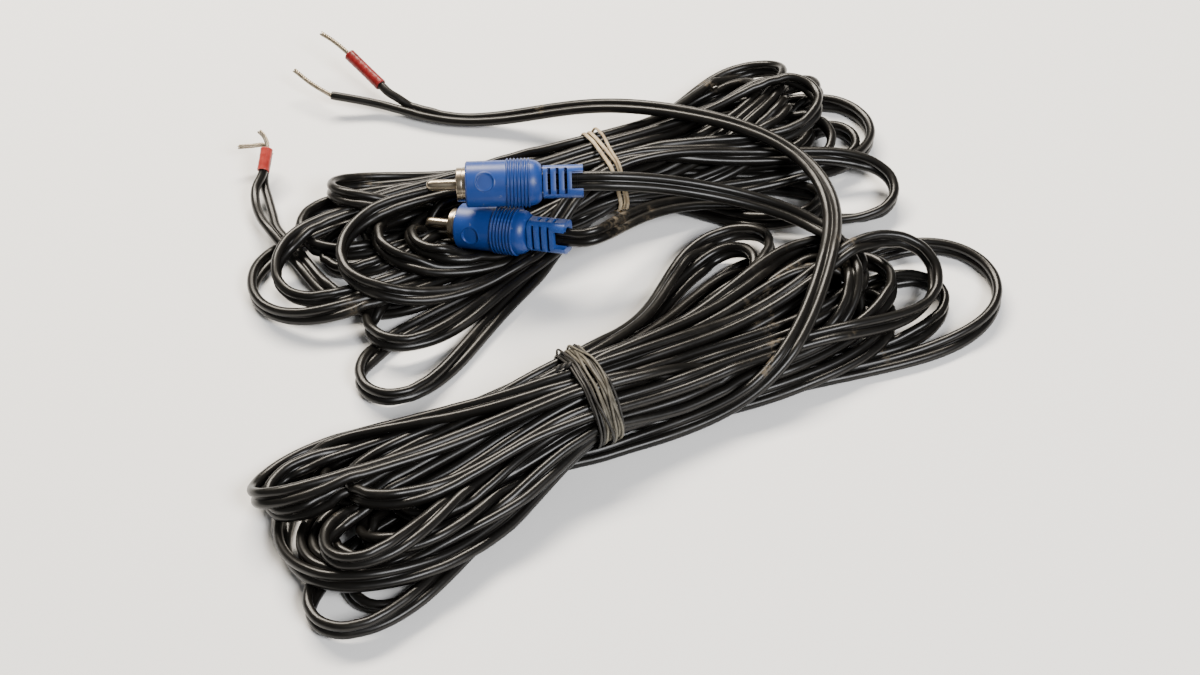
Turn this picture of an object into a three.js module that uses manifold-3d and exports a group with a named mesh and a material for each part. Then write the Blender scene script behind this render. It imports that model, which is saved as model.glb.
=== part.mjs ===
// A pair of phono leads, each wound into a tied hank.
//
// Each lead is a flat two-core cord. One end is moulded into a phono plug and the other end is
// split into two insulated legs with stripped, tinned tips. One leg of each pair wears a marker
// sleeve. Lead B lies on lead A, and the plug of B lies on the plug of A.
//
// Millimetres, +Z up. The origin is the middle of the whole pair's footprint, on the surface
// that the hanks lie on.
import * as THREE from 'three';
import { mergeVertices } from 'three/addons/utils/BufferGeometryUtils.js';
import Module from 'manifold-3d';

const wasm = await Module();
wasm.setup();

// ---------------------------------------------------------------- driving dimensions

const gap = 0.3;                    // left between pieces that touch

// flat two-core cord
const cordWidth = 5.6;
const cordThickness = 2.8;
const cordTubeRadius = 2.1;         // round tube with the flat cord's own cross-section area
const legRadius = 1.4;
const tipRadius = 0.6;
const sleeveRadius = 1.9;
const tubeSides = 8;

// phono plug, measured along its axis from the mouth of the boot to the tip of the pin
const bootLength = 11.8;
const ribsStart = 15.3;
const ribCount = 7;
const ribPitch = 1.02;
const bodyFront = 33.8;
const collarFront = 36.4;
const pinTip = 45.1;
const bodyRadius = 6.65;
const ribHeight = 0.5;
const wallInnerRadius = 5.2;
const collarRadius = 4.9;
const collarBore = 4.15;
const pinRadius = 1.6;
const pinFlatRadius = 0.9;
const bootWidth = 9.4;
const bootHeight = 7.0;
const bootHole = [6.3, 3.5];
const cordEnd = 16;                 // where the cord stops inside the plug

// hanks
const tieWidthA = 4;
const tieWidthB = 7;
const tieThickness = 1.2;
const waistA = [-0.5, 49];
const waistB = [-5.2, -41.6];
const axisAngleA = THREE.MathUtils.degToRad(22);
const axisAngleB = THREE.MathUtils.degToRad(24);

// ---------------------------------------------------------------- materials

function finish(color, roughness, metalness = 0) {
  return new THREE.MeshStandardMaterial({ color, roughness, metalness });
}

const jacket = finish(0x15130f, 0.42);
const bluePvc = finish(0x2058b4, 0.45);
const innerPvc = finish(0x2a2a2c, 0.6);
const nickel = finish(0xb9b2a4, 0.3, 1);
const insulatorWhite = finish(0xe8e4d8, 0.5);
const tinned = finish(0xa9a59c, 0.4, 1);
const copper = finish(0xb06a3c, 0.35, 1);
const sleeveRed = finish(0xa81c1e, 0.5);
const sleeveSalmon = finish(0xc8453e, 0.5);
const rubberTan = finish(0xcbb894, 0.65);
const bandDark = finish(0x4c4a42, 0.6);

// ---------------------------------------------------------------- solids

// A closed geometry as a manifold solid, with shared vertices merged.
function solidOf(geometry) {
  const bare = geometry.clone();
  bare.deleteAttribute('normal');
  bare.deleteAttribute('uv');
  const merged = mergeVertices(bare, 1e-4);
  return new wasm.Manifold(new wasm.Mesh({
    numProp: 3,
    vertProperties: new Float32Array(merged.attributes.position.array),
    triVerts: new Uint32Array(merged.index.array),
  }));
}

function geometryOf(solid) {
  const mesh = solid.getMesh();
  const geometry = new THREE.BufferGeometry();
  geometry.setAttribute('position', new THREE.BufferAttribute(mesh.vertProperties, 3));
  geometry.setIndex(new THREE.BufferAttribute(mesh.triVerts, 1));
  geometry.computeVertexNormals();
  return geometry;
}

function named(name, geometry, material) {
  const mesh = new THREE.Mesh(geometry, material);
  mesh.name = name;
  return mesh;
}

// A solid of revolution about the X axis. The profile is a closed loop of [x, radius].
function revolved(profile, segments) {
  const loop = [...profile, profile[0]].map(([x, radius]) => new THREE.Vector2(radius, x));
  return new THREE.LatheGeometry(loop, segments).rotateZ(-Math.PI / 2);
}

function roundedRectangle(width, height, radius) {
  const [x, y] = [width / 2, height / 2];
  return new THREE.Shape()
    .moveTo(x, radius - y)
    .lineTo(x, y - radius)
    .absarc(x - radius, y - radius, radius, 0, Math.PI / 2)
    .lineTo(radius - x, y)
    .absarc(radius - x, y - radius, radius, Math.PI / 2, Math.PI)
    .lineTo(-x, radius - y)
    .absarc(radius - x, radius - y, radius, Math.PI, Math.PI * 1.5)
    .lineTo(x - radius, -y)
    .absarc(x - radius, radius - y, radius, Math.PI * 1.5, Math.PI * 2);
}

// A prism along +X. The shape's x becomes Y and its y becomes Z.
function prismAlongX(shape, start, length, curveSegments = 4) {
  const options = { depth: length, bevelEnabled: false, curveSegments };
  const geometry = new THREE.ExtrudeGeometry(shape, options);
  return geometry.rotateX(Math.PI / 2).rotateZ(Math.PI / 2).translate(start, 0, 0);
}

function smoothRoute(points) {
  return new THREE.CatmullRomCurve3(points.map((p) => new THREE.Vector3(...p)), false, 'centripetal');
}

// A round tube along a route, with a step every two and a half diameters or so.
function tube(points, radius, clearance = 0) {
  const route = smoothRoute(points);
  const section = new THREE.Shape().absarc(0, 0, radius + clearance, 0, Math.PI * 2);
  return new THREE.ExtrudeGeometry(section, {
    steps: Math.max(3, Math.round(route.getLength() / (radius * 5))),
    curveSegments: tubeSides,
    extrudePath: route,
  });
}

// The same tube with clearance all round and round both ends, to cut its channel in a hank.
function channel(points, radius) {
  const clearance = gap * 1.5;
  const ends = [points[0], points.at(-1)].map((end) => {
    const ball = new THREE.SphereGeometry((radius + clearance) * 1.15, 10, 8);
    return solidOf(ball.translate(...end));
  });
  return solidOf(tube(points, radius, clearance)).add(ends[0]).add(ends[1]);
}

// ---------------------------------------------------------------- phono plug

// The plug's own frame: the origin is the mouth of the boot, +X runs to the tip of the pin, and
// the cord's flat width lies along Y.

function plugBody() {
  const rear = bootLength;
  const shoulder = [[rear, 4.6], [rear + 0.6, 5.5], [rear + 1.6, 6.2], [rear + 2.8, bodyRadius - 0.05]];
  const ribs = [];
  for (let i = 0; i < ribCount; i += 1) {
    const x = ribsStart + i * ribPitch;
    ribs.push([x, bodyRadius + ribHeight], [x + 0.5, bodyRadius + ribHeight], [x + 0.75, bodyRadius]);
    if (i < ribCount - 1) ribs.push([x + ribPitch - 0.1, bodyRadius]);
  }
  const rim = 0.5;
  const front = [[bodyFront - rim, bodyRadius], [bodyFront, bodyRadius - rim], [bodyFront, wallInnerRadius]];
  const cavity = [[rear + 1.6, wallInnerRadius], [rear + 1.6, 3.2], [rear, 3.2]];
  const shell = solidOf(revolved([...shoulder, ...ribs, ...front, ...cavity], 28));
  const recess = new THREE.CylinderGeometry(2.4, 2.4, 2, 20).rotateX(Math.PI / 2);
  recess.translate(28.2, 0, bodyRadius + 0.55);
  return geometryOf(shell.subtract(solidOf(recess)));
}

// A flat sleeve round the cord. Bending slots open to the cord through both broad faces and both
// narrow sides, and so does a notch at the mouth.
function strainRelief() {
  const outer = roundedRectangle(bootWidth, bootHeight, 2.2);
  outer.holes.push(roundedRectangle(...bootHole, 1.6));
  let sleeve = solidOf(prismAlongX(outer, 0, bootLength - gap));
  const slotWidth = 0.9;
  const slotPitch = 2.4;
  const firstSlot = 5;
  const slotDepth = 4;
  for (let i = 0; i < 3; i += 1) {
    for (const side of [1, -1]) {
      const broad = new THREE.BoxGeometry(slotWidth, 7.6, slotDepth);
      broad.translate(firstSlot + i * slotPitch, 0, side * 3.6);
      const narrow = new THREE.BoxGeometry(slotWidth, slotDepth, 2.4);
      narrow.translate(firstSlot + (i - 0.5) * slotPitch, side * 4.9, 0);
      sleeve = sleeve.subtract(solidOf(broad)).subtract(solidOf(narrow));
    }
  }
  const notch = new THREE.BoxGeometry(6.6, 5.2, slotDepth).translate(0, 0, 3.6);
  return geometryOf(sleeve.subtract(solidOf(notch)));
}

function collarShell() {
  const rear = 24.3;
  return revolved([
    [rear, collarBore],
    [rear, collarRadius],
    [collarFront - 0.3, collarRadius],
    [collarFront, collarRadius - 0.2],
    [collarFront, collarBore],
  ], 32);
}

function centrePin() {
  const profile = [
    [22.5, 0],
    [22.5, 0.8],
    [24.6, 0.8],
    [24.6, pinRadius],
    [pinTip - 1.2, pinRadius],
    [pinTip - 0.4, 1.35],
    [pinTip, pinFlatRadius],
    [pinTip, 0],
  ];
  const points = profile.map(([x, radius]) => new THREE.Vector2(radius, x));
  return new THREE.LatheGeometry(points, 20).rotateZ(-Math.PI / 2);
}

function insulatorRing() {
  const [bore, outside] = [pinRadius + gap, collarBore - gap];
  return revolved([[25, bore], [25, outside], [33, outside], [33, bore]], 24);
}

function innerMould() {
  const [bore, outside] = [3.3, wallInnerRadius - gap];
  return revolved([[13.7, bore], [13.7, outside], [22, outside], [22, bore]], 24);
}

function cordStub() {
  const section = roundedRectangle(cordWidth, cordThickness, 1.35);
  return prismAlongX(section, 0, cordEnd, 5);
}

function plugMeshes(suffix) {
  const start = cordEnd + gap;
  const signal = [[start, 1.4, 0], [18.5, 1.2, 0], [20.5, 0.3, 0], [22.2, 0, 0]];
  const ground = [[start, -1.4, 0], [19, -1.6, 0], [21.6, -2.4, 0], [23, -3.9, 0], [24, -4.5, 0]];
  return [
    named(`plug_body_${suffix}`, plugBody(), bluePvc),
    named(`boot_${suffix}`, strainRelief(), bluePvc),
    named(`collar_${suffix}`, collarShell(), nickel),
    named(`centre_pin_${suffix}`, centrePin(), nickel),
    named(`insulator_${suffix}`, insulatorRing(), insulatorWhite),
    named(`inner_mould_${suffix}`, innerMould(), innerPvc),
    named(`cord_in_boot_${suffix}`, cordStub(), jacket),
    named(`signal_wire_${suffix}`, tube(signal, 0.5), copper),
    named(`ground_wire_${suffix}`, tube(ground, 0.5), copper),
  ];
}

// Places a plug with the mouth of its boot at a point and its nose along a direction. The face with
// the recess is turned as far as it goes towards a second direction.
function placedPlug(suffix, mouth, nose, facing) {
  const x = new THREE.Vector3(...nose).normalize();
  const up = new THREE.Vector3(...facing);
  const z = up.addScaledVector(x, -up.dot(x)).normalize();
  const y = new THREE.Vector3().crossVectors(z, x);
  const group = new THREE.Group();
  group.quaternion.setFromRotationMatrix(new THREE.Matrix4().makeBasis(x, y, z));
  group.position.set(...mouth);
  group.add(...plugMeshes(suffix));
  return group;
}

// ---------------------------------------------------------------- hanks and their ties

function closedShape(points, divisions) {
  const loop = new THREE.CatmullRomCurve3(points.map(([x, y]) => new THREE.Vector3(x, y, 0)), true);
  const outline = loop.getSpacedPoints(divisions).slice(0, -1);
  return new THREE.Shape(outline.map((p) => new THREE.Vector2(p.x, p.y)));
}

// A counter-clockwise outline moved outwards by a distance.
function offsetOutline(points, distance) {
  return points.map((point, i) => {
    const before = points[(i + points.length - 1) % points.length];
    const after = points[(i + 1) % points.length];
    const along = new THREE.Vector2(after[0] - before[0], after[1] - before[1]).normalize();
    return [point[0] + along.y * distance, point[1] - along.x * distance];
  });
}

// Turns a solid made along +X at the origin so that +X is a hank's long axis at its waist.
function alongHank(geometry, angle, waist) {
  return geometry.rotateZ(angle).translate(waist[0], waist[1], 0);
}

const tallerThanAnyHank = { depth: 40, bevelEnabled: false };

// A hank is the seen-from-above outline, cut to the height that its side view has along it.
function hankSolid(hank) {
  const plan = new THREE.ExtrudeGeometry(closedShape(hank.outline, 72), tallerThanAnyHank);
  const crest = new THREE.SplineCurve(hank.crest.map((p) => new THREE.Vector2(...p)));
  const side = new THREE.Shape(crest.getPoints(18));
  side.lineTo(hank.crest.at(-1)[0], 0);
  side.lineTo(hank.crest[0][0], 0);
  const wall = new THREE.ExtrudeGeometry(side, { depth: 300, bevelEnabled: false });
  wall.translate(0, 0, -150).rotateX(Math.PI / 2);
  return solidOf(plan).intersect(solidOf(alongHank(wall, hank.angle, hank.waist)));
}

// The room that the tie takes round the waist.
function tieGroove(hank) {
  const width = hank.tieWidth + gap * 2;
  const slab = new THREE.BoxGeometry(width, 80, 80);
  const core = closedShape(offsetOutline(hank.tieOutline, -gap), 32);
  const kept = prismAlongX(core, -width, width * 2);
  const place = (geometry) => solidOf(alongHank(geometry, hank.angle, hank.waist));
  return place(slab).subtract(place(kept));
}

function tieBand(hank) {
  const band = closedShape(offsetOutline(hank.tieOutline, tieThickness), 32);
  band.holes.push(closedShape(hank.tieOutline, 32));
  const geometry = prismAlongX(band, -hank.tieWidth / 2, hank.tieWidth);
  return alongHank(geometry, hank.angle, hank.waist);
}

const hankA = {
  angle: axisAngleA,
  waist: waistA,
  tieWidth: tieWidthA,
  // seen from above, counter-clockwise from the upper side of the waist
  outline: [
    [-9, 65], [-34, 58], [-62, 55], [-88, 45], [-102, 26], [-102, 4], [-88, -11], [-66, -20],
    [-44, -15], [-22, 5], [2, 30.5], [26, 43], [56, 46], [76, 58], [81, 76], [72, 92], [52, 98],
    [26, 88], [4, 71.5],
  ],
  // side view: distance along the hank from its waist, and height
  crest: [[-125, 8], [-95, 10], [-60, 14], [-20, 19], [4, 19.6], [16, 17], [55, 14], [90, 9], [120, 7]],
  // section of the tie, across the hank and up
  tieOutline: [
    [14.6, 10.5], [10.4, 17.1], [0, 19.8], [-10.4, 17.1], [-14.6, 10.5], [-10.4, 4], [0, 1.3],
    [10.4, 4],
  ],
};

const hankB = {
  angle: axisAngleB,
  waist: waistB,
  tieWidth: tieWidthB,
  outline: [
    [-13, -26], [-42, -36], [-76, -44], [-94, -62], [-92, -88], [-80, -110.6], [-60, -109.4],
    [-34, -86], [1, -58], [34, -38], [70, -21], [103, -11], [114.7, 6], [98, 25], [70, 28],
    [40, 29], [16, 4],
  ],
  crest: [[-120, 9], [-90, 16], [-55, 20], [-20, 23], [0, 23.6], [16, 20], [45, 14], [90, 12], [140, 8]],
  tieOutline: [
    [14.8, 12.5], [10.5, 20.5], [0, 23.8], [-10.5, 20.5], [-14.8, 12.5], [-10.5, 4.5], [0, 1.3],
    [10.5, 4.5],
  ],
};

// ---------------------------------------------------------------- where the loose cord lies

const plugA = { mouth: [-11.2, 14.2, 16.5], nose: [-0.935, 0.31, -0.17], facing: [0.1, -0.9, 0.35] };
const plugB = { mouth: [-6.9, 25.5, 28], nose: [-0.999, -0.043, 0], facing: [0, -0.669, 0.743] };

// A point on a plug's axis, a distance ahead of the mouth of its boot.
function onPlugAxis(plug, distance) {
  const nose = new THREE.Vector3(...plug.nose).normalize();
  return new THREE.Vector3(...plug.mouth).addScaledVector(nose, distance).toArray();
}

const plugCordA = [
  onPlugAxis(plugA, -gap), onPlugAxis(plugA, -3.5), [-3.2, 16, 17], [0.4, 21, 15], [4, 27.3, 13],
  [11, 31.5, 11.5], [22, 36.4, 9], [34, 38.4, 6], [46, 38.6, 4.4], [58, 37.4, 4], [70, 36.2, 4],
  [79.3, 37.7, 4], [85.9, 41.6, 4], [88.7, 46.8, 4.2], [87, 51.4, 5], [81, 54, 7], [72, 54.6, 9],
  [62, 53.6, 10.5],
];
const plugCordB = [
  onPlugAxis(plugB, -gap), onPlugAxis(plugB, -3), [-0.8, 25.4, 28], [4.9, 26.3, 27.2],
  [10.8, 27.8, 25.6], [17.2, 29.1, 23.6], [24.3, 29.7, 21.4], [32, 29.6, 19.3],
  [40.5, 28.2, 17.4], [50.1, 26, 15.8], [59, 22.6, 14.2], [65.6, 16.5, 12.8], [69.8, 9, 12],
  [71.4, 1, 11.8], [70, -7, 11],
];
const tailCordA = [[-78, 3, 4], [-86, 11, 4], [-91, 18, 4]];
const tailCordB = [
  [6, -47.2, 3.8], [13, -45.4, 3.2], [25.5, -41.8, 3], [36.7, -37, 4.6], [43.6, -33, 9],
  [49, -27.5, 14], [53.5, -19.5, 16.8], [58, -8.5, 17.6], [62, 4, 17.8], [65, 17, 17.8],
  [65.6, 29, 18.2], [63.2, 39.5, 19.4], [57, 49, 20.2], [47, 56.5, 20.6], [35.4, 62, 20.6],
  [22.2, 66.2, 20.6], [10.2, 70, 20.4], [-2, 74.4, 18.4], [-14.5, 77.8, 12.6], [-27.2, 80, 6.8],
  [-39.8, 80.4, 3.6], [-52.5, 81.5, 3], [-60.4, 83.8, 3],
];
const legMarkedB = [[-63, 86.2, 3.8], [-66.2, 87.8, 5], [-69.2, 89.2, 6.2], [-71.3, 91.2, 7]];
const tipMarkedB = [[-82.7, 102.9, 10.7], [-84.1, 104.3, 11.1], [-88, 108, 11.8], [-92.4, 111.7, 12]];
const legPlainB = [[-64.2, 82.8, 2.6], [-71.9, 86.4, 3.6], [-79.7, 87.4, 4.8], [-87.3, 88, 6]];
const tipPlainB = [[-87.7, 88.2, 6.1], [-94, 92.6, 7], [-100.2, 98.4, 8]];
const legMarkedA = [
  [-94.1, 20.3, 5.3], [-99.9, 27.6, 5.6], [-103.2, 32.8, 5.4], [-105.8, 39.9, 4.8],
  [-106.5, 46, 5.2], [-104.8, 51.6, 6.7],
];
const tipMarkedA = [[-103.9, 59.2, 10.2], [-104, 60.4, 10.8], [-105.1, 62.4, 12], [-107, 64, 13]];
const legPlainA = [
  [-91.3, 22.5, 3.6], [-98.5, 30.8, 3.2], [-100.7, 37.4, 3], [-102.7, 43.9, 3],
  [-104.3, 49, 3.1], [-104.9, 52.9, 3.6], [-104.4, 57, 5.4], [-104, 60.6, 7.05],
];
const tipPlainA = [[-104, 60.9, 7.2], [-105.3, 62.6, 7.9], [-109.5, 62.6, 7.6], [-113.9, 61.7, 8]];

// A marker sleeve bridges the end of the marked leg and the start of its stripped tip, so the
// leg and the tip stop short inside it.
function markerSleeve(leg, tip) {
  const route = [leg.at(-1), tip[0]].map((p) => new THREE.Vector3(...p));
  const along = route[1].clone().sub(route[0]).normalize();
  route[0].addScaledVector(along, gap * 2);
  route[1].addScaledVector(along, -gap * 2);
  return tube(route.map((p) => p.toArray()), sleeveRadius);
}

function hankWithRoom(hank, channels) {
  return channels.reduce((solid, cut) => solid.subtract(cut), hankSolid(hank).subtract(tieGroove(hank)));
}

// The hollow where plug A lies among the turns, with the room that it swings in.
function plugHollow() {
  const footprint = new THREE.Shape([
    new THREE.Vector2(-2, 30), new THREE.Vector2(-62, 44), new THREE.Vector2(-64, 4),
    new THREE.Vector2(-2, -4),
  ]);
  const floorHeight = 3;
  const geometry = new THREE.ExtrudeGeometry(footprint, tallerThanAnyHank);
  return solidOf(geometry.translate(0, 0, floorHeight));
}

function leadMeshes(suffix, lead) {
  const hank = hankWithRoom(lead.hank, lead.cuts);
  return [
    named(`hank_${suffix}`, geometryOf(hank), jacket),
    named(`tie_${suffix}`, tieBand(lead.hank), lead.tieMaterial),
    named(`plug_cord_${suffix}`, tube(lead.plugCord, cordTubeRadius), jacket),
    named(`tail_cord_${suffix}`, tube(lead.tailCord, cordTubeRadius), jacket),
    named(`leg_marked_${suffix}`, tube(lead.legMarked, legRadius), jacket),
    named(`leg_plain_${suffix}`, tube(lead.legPlain, legRadius), jacket),
    named(`marker_sleeve_${suffix}`, markerSleeve(lead.legMarked, lead.tipMarked), lead.sleeveMaterial),
    named(`tip_marked_${suffix}`, tube(lead.tipMarked, tipRadius), tinned),
    named(`tip_plain_${suffix}`, tube(lead.tipPlain, tipRadius), tinned),
  ];
}

const leadA = {
  hank: hankA,
  plugCord: plugCordA,
  tailCord: tailCordA,
  legMarked: legMarkedA,
  legPlain: legPlainA,
  tipMarked: tipMarkedA,
  tipPlain: tipPlainA,
  tieMaterial: rubberTan,
  sleeveMaterial: sleeveSalmon,
};
leadA.cuts = [
  plugHollow(),
  channel(plugCordA, cordTubeRadius),
  channel([...tailCordA, [-93.5, 21.5, 4]], cordTubeRadius),
  channel(legMarkedA, legRadius),
  channel(legPlainA, legRadius),
];
const leadB = {
  hank: hankB,
  plugCord: plugCordB,
  tailCord: tailCordB,
  legMarked: legMarkedB,
  legPlain: legPlainB,
  tipMarked: tipMarkedB,
  tipPlain: tipPlainB,
  tieMaterial: bandDark,
  sleeveMaterial: sleeveRed,
};
leadB.cuts = [
  channel(plugCordB, cordTubeRadius),
  channel(tailCordB, cordTubeRadius),
];

// ---------------------------------------------------------------- assembly

const leads = new THREE.Group();
leads.add(...leadMeshes('a', leadA));
leads.add(...leadMeshes('b', leadB));
leads.add(placedPlug('a', plugA.mouth, plugA.nose, plugA.facing));
leads.add(placedPlug('b', plugB.mouth, plugB.nose, plugB.facing));

export default leads;
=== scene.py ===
"""A pair of phono leads, each wound into a tied hank and lying on the other.

Every length in the route and shape tables is in millimetres, in the frame of the CAD model, and
becomes metres where a mesh is made.
"""

import itertools
import math

import bmesh
import bpy
import numpy as np
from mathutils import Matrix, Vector


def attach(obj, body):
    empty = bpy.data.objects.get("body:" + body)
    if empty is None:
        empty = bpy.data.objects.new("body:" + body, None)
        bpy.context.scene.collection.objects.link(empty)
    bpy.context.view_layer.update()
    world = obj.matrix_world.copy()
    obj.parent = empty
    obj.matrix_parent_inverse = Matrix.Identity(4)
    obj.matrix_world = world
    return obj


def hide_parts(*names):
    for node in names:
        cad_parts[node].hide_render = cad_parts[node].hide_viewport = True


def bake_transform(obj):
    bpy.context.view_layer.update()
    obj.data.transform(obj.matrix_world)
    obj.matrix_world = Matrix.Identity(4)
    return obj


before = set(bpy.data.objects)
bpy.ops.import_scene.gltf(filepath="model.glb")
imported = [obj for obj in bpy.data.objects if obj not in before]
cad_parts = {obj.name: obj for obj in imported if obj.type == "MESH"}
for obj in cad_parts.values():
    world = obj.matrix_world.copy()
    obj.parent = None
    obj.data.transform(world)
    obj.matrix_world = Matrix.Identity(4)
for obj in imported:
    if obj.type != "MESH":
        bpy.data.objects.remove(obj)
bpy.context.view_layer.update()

MM = 0.001

# ---------------------------------------------------------------- camera, at the photograph's angle

AIM = (-2.0, -19.0, 10.0)
ELEVATION = 48.0
DISTANCE = 560.0

lift = math.radians(ELEVATION)
camera = bpy.data.objects.new("camera", bpy.data.cameras.new("camera"))
camera.data.sensor_width = 36.0
camera.data.lens = 60.0
camera.data.clip_start = 0.01
camera.location = (
    AIM[0] * MM,
    (AIM[1] - DISTANCE * math.cos(lift)) * MM,
    (AIM[2] + DISTANCE * math.sin(lift)) * MM,
)
camera.rotation_euler = (math.pi / 2 - lift, 0.0, 0.0)
bpy.context.scene.collection.objects.link(camera)
bpy.context.scene.camera = camera

# ---------------------------------------------------------------- the leads' routes, in millimetres

CORE = 1.4              # radius of one core of the flat cord; its two cores touch
NODE_STEP = 3.0         # distance between the solver's nodes along a core
LEAST_BEND = 8.0        # least radius of a fold
ENTRY = 1.6             # the cord is drawn from this far inside the mouth of its boot
PITCH = 5.75            # distance between flat cords side by side in a tie
LAYER = 2.9             # height of one layer of cord
SETTLE_STEPS = 460

PLUGS = {
    "a": dict(mouth=(-11.2, 14.2, 16.5), nose=(-0.935, 0.31, -0.17), facing=(0.1, -0.9, 0.35)),
    "b": dict(mouth=(-6.9, 25.5, 28.0), nose=(-0.999, -0.043, 0.0), facing=(0.0, -0.669, 0.743)),
}

# The loose ends, from the plug into the hank and from the hank to the split, as in the CAD model.
PLUG_CORD = {
    "a": [(-3.2, 16, 17), (0.4, 21, 15), (4, 27.3, 13), (11, 31.5, 11.5), (22, 36.4, 9), (34, 38.4, 6),
          (46, 38.6, 4.4), (58, 37.4, 4), (70, 36.2, 4), (79.3, 37.7, 4), (85.9, 41.6, 4),
          (88.7, 46.8, 4.2), (87, 51.4, 5), (81, 54, 7), (72, 54.6, 9), (62, 53.6, 10.5),
          (50, 53, 11.5), (38, 52, 12)],
    "b": [(-0.8, 25.4, 28), (4.9, 26.3, 27.2), (10.8, 27.8, 25.6), (17.2, 29.1, 23.6),
          (24.3, 29.7, 21.4), (32, 29.6, 19.3), (40.5, 28.2, 17.4), (50.1, 26, 15.8),
          (59, 22.6, 14.2), (65.6, 16.5, 12.8), (69.8, 9, 12), (71.4, 1, 11.8), (70, -7, 11),
          (65, -13.7, 10.5), (57, -19, 10), (48, -23, 10)],
}
BROAD_SIDE_UP = {"a": 2, "b": 7}     # the route point from which a cord turns level
TAIL_CORD = {
    "a": [(-24, 28, 4), (-45, 8, 4), (-62, -2, 4), (-71, -1, 4), (-78, 3, 4), (-86, 11, 4),
          (-91, 18, 4), (-91.6, 18.9, 4)],
    "b": [(13, -45.4, 3.2), (25.5, -41.8, 3), (36.7, -37, 4.6), (43.6, -33, 9), (49, -27.5, 14),
          (53.5, -19.5, 16.8), (58, -8.5, 17.6), (62, 4, 17.8), (65, 17, 17.8), (65.6, 29, 18.2),
          (63.2, 39.5, 19.4), (57, 49, 20.2), (47, 56.5, 20.6), (35.4, 62, 20.6), (22.2, 66.2, 20.6),
          (10.2, 70, 20.4), (-2, 74.4, 18.4), (-14.5, 77.8, 12.6), (-27.2, 80, 6.8),
          (-39.8, 80.4, 3.6), (-52.5, 81.5, 3), (-60.4, 83.8, 3), (-61.5, 84.3, 3.1)],
}
LEGS = {
    "marked_a": [(-94.1, 20.3, 5.3), (-99.9, 27.6, 5.6), (-103.2, 32.8, 5.4),
                 (-105.8, 39.9, 4.8), (-106.5, 46, 5.2), (-104.8, 51.6, 6.7)],
    "plain_a": [(-91.3, 22.5, 3.6), (-98.5, 30.8, 3.2), (-100.7, 37.4, 3), (-102.7, 43.9, 3),
                (-104.3, 49, 3.1), (-104.9, 52.9, 3.6), (-104.4, 57, 5.4), (-104, 60.6, 7.05)],
    "marked_b": [(-63, 86.2, 3.8), (-66.2, 87.8, 5), (-69.2, 89.2, 6.2), (-71.3, 91.2, 7)],
    "plain_b": [(-64.2, 82.8, 2.6), (-71.9, 86.4, 3.6), (-79.7, 87.4, 4.8), (-87.3, 88, 6)],
}
TIPS = {
    "marked_a": [(-103.9, 59.2, 10.2), (-104, 60.4, 10.8), (-105.1, 62.4, 12), (-107, 64, 13)],
    "plain_a": [(-104, 60.9, 7.2), (-105.3, 62.6, 7.9), (-109.5, 62.6, 7.6), (-113.9, 61.7, 8)],
    "marked_b": [(-82.7, 102.9, 10.7), (-84.1, 104.3, 11.1), (-88, 108, 11.8), (-92.4, 111.7, 12)],
    "plain_b": [(-87.7, 88.2, 6.1), (-94, 92.6, 7), (-100.2, 98.4, 8)],
}

# Each hank: the middle of its tie, the direction of its long axis, and the half-width, half-height
# and middle height of the space inside its tie. A row of left or right is one end loop, in the
# order that it was wound: how far out its tip is along the hank, how far across the hank, how wide
# the loop opens and how high it lies.
HANKS = {
    "a": dict(
        waist=(-0.5, 49.0), angle=22, oval=(14.6, 9.3, 10.5), tie=4.0,
        left=[(-85.5, -12.6, 32, 14), (-81.5, 22.4, 15, 11), (-104.5, -3.6, 23, 9),
              (-66.5, -6.6, 15, 12), (-94.5, 12.4, 18, 8), (-76.5, -1.6, 15, 10),
              (-110.5, -4.6, 40, 5), (-74.5, 7.4, 15, 6), (-88.5, 3.4, 16, 7),
              (-86.5, -34.6, 15, 4), (-93.5, -51.6, 15, 3)],
        right=[(74.5, 3.4, 15, 15), (73.5, 23.4, 15, 13), (61.5, 20.4, 15, 12), (65.5, 10.4, 15, 11),
               (87.5, -2.6, 34, 9), (72.5, -8.6, 15, 7), (55.5, 0.4, 15, 9), (79.5, 13.4, 16, 8),
               (59.5, -30.6, 15, 5), (69.5, 1.4, 16, 6), (79.5, -6.6, 15, 4)],
    ),
    "b": dict(
        waist=(-5.2, -41.6), angle=24, oval=(14.8, 11.3, 12.5), tie=7.0,
        left=[(-94.3, 7, 15, 17), (-71.3, -9, 15, 15), (-83.3, -22, 16, 13), (-75.3, 3, 15, 13),
              (-61.3, -13, 15, 12), (-91.3, 3, 15, 14), (-90.5, -9, 50, 7), (-85.3, -19, 22, 7),
              (-71.3, -23, 16, 10), (-92.3, -34, 15, 5), (-78, -19, 20, 9), (-87.3, -20, 28, 5),
              (-79.3, -27, 18, 3)],
        right=[(115.7, 8, 15, 15), (75.7, 42, 15, 11), (94.7, 19, 15, 13), (88.7, 9, 15, 11),
               (68.7, 36, 15, 8), (82.7, 26, 15, 10), (102.7, 12, 15, 12), (113.7, 2, 15, 4),
               (96.7, 0, 15, 6), (76.7, 21, 15, 7), (86.7, 11, 15, 8), (129.7, 3, 38, 4)],
    ),
}

# In a tie, the last turn of the cord goes through here: across the hank, and above the tie's floor.
LAST_PASS = (-9.5, 1.8)

# An arm of an end loop, from its tie to where the loop turns: the share of the way out at each of
# its points, and the share of the way across.
ARM = ((0.0, 0.0), (0.3, 0.2), (0.62, 0.62), (0.86, 0.92))
ARM_STARTS = 5.0        # distance from the middle of the tie
WIDTH_TURNS_OVER = 4    # route points over which a plug cord turns level

# The length of each lead's plug cord and of its tail, outside its hank.
LOOSE_ENDS = ((150, 75), (115, 330))
HELD_AT_BOOT, HELD_AT_SPLIT = 7.5, 6.0      # lengths that don't move at the two ends

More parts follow.
